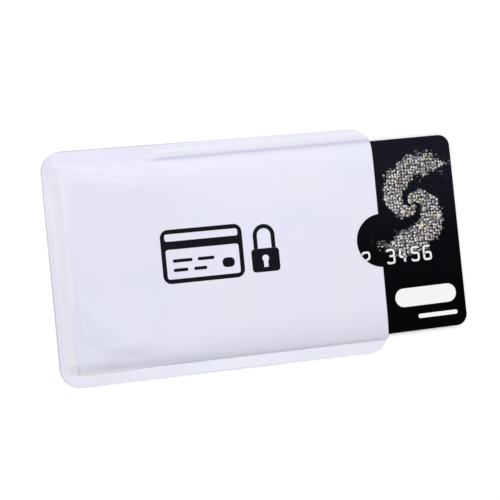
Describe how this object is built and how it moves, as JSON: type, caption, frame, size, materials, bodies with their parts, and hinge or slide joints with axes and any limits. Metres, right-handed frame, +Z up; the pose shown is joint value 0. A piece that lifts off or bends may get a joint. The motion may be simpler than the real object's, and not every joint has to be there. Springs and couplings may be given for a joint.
{
  "type": "shielded card sleeve with card",
  "caption": "Flat pearl foil-laminate sleeve, heat-sealed on three sides with a round thumb notch at its open end, holding a payment-size card that slides in and out.",
  "frame": {"origin": "centre of the sleeve's outline on its back face, which lies on the table", "axes": "+X along the sleeve from its closed end to its open mouth, +Y across it towards the magnetic stripe's edge of the card, +Z up out of the front panel"},
  "size_m": [0.1153, 0.0624, 0.0022],
  "materials": {
    "pearl_film": "pearl white film, glossy, with a faint lavender tint",
    "shield_foil": "bright rolled foil",
    "paper_liner": "smooth white coated paper",
    "seal_layer": "clear sealing layer, satin",
    "card_overlay": "clear gloss laminate over a near-black print",
    "card_core": "near-black sheet",
    "card_inlay": "white sheet",
    "antenna_metal": "etched foil track",
    "contact_gold": "gold-plated contacts",
    "chip_resin": "black moulding resin",
    "bond_adhesive": "silver-filled adhesive",
    "stripe": "dark brown magnetic coating, satin",
    "signature_white": "matt white writing strip"
  },
  "bodies": {
    "sleeve": {"front_film": "pearl_film", "front_foil": "shield_foil", "front_liner": "paper_liner", "back_film": "pearl_film", "back_foil": "shield_foil", "back_liner": "paper_liner", "top_seal": "seal_layer", "bottom_seal": "seal_layer", "end_seal": "seal_layer"},
    "card": {"card_front_overlay": "card_overlay", "card_front_core": "card_core", "card_inlay": "card_inlay", "card_rear_core": "card_core", "card_rear_overlay": "card_overlay", "antenna_coil": "antenna_metal", "antenna_bridge": "antenna_metal", "chip_contact_plate": "contact_gold", "chip_resin": "chip_resin", "chip_bonds": "bond_adhesive", "magnetic_stripe": "stripe", "signature_panel": "signature_white"}
  },
  "joints": [
    {"name": "card_slide", "type": "slide", "parent": "sleeve", "child": "card", "axis": [1, 0, 0], "range_m": [-0.0241, 0.066]}
  ]
}
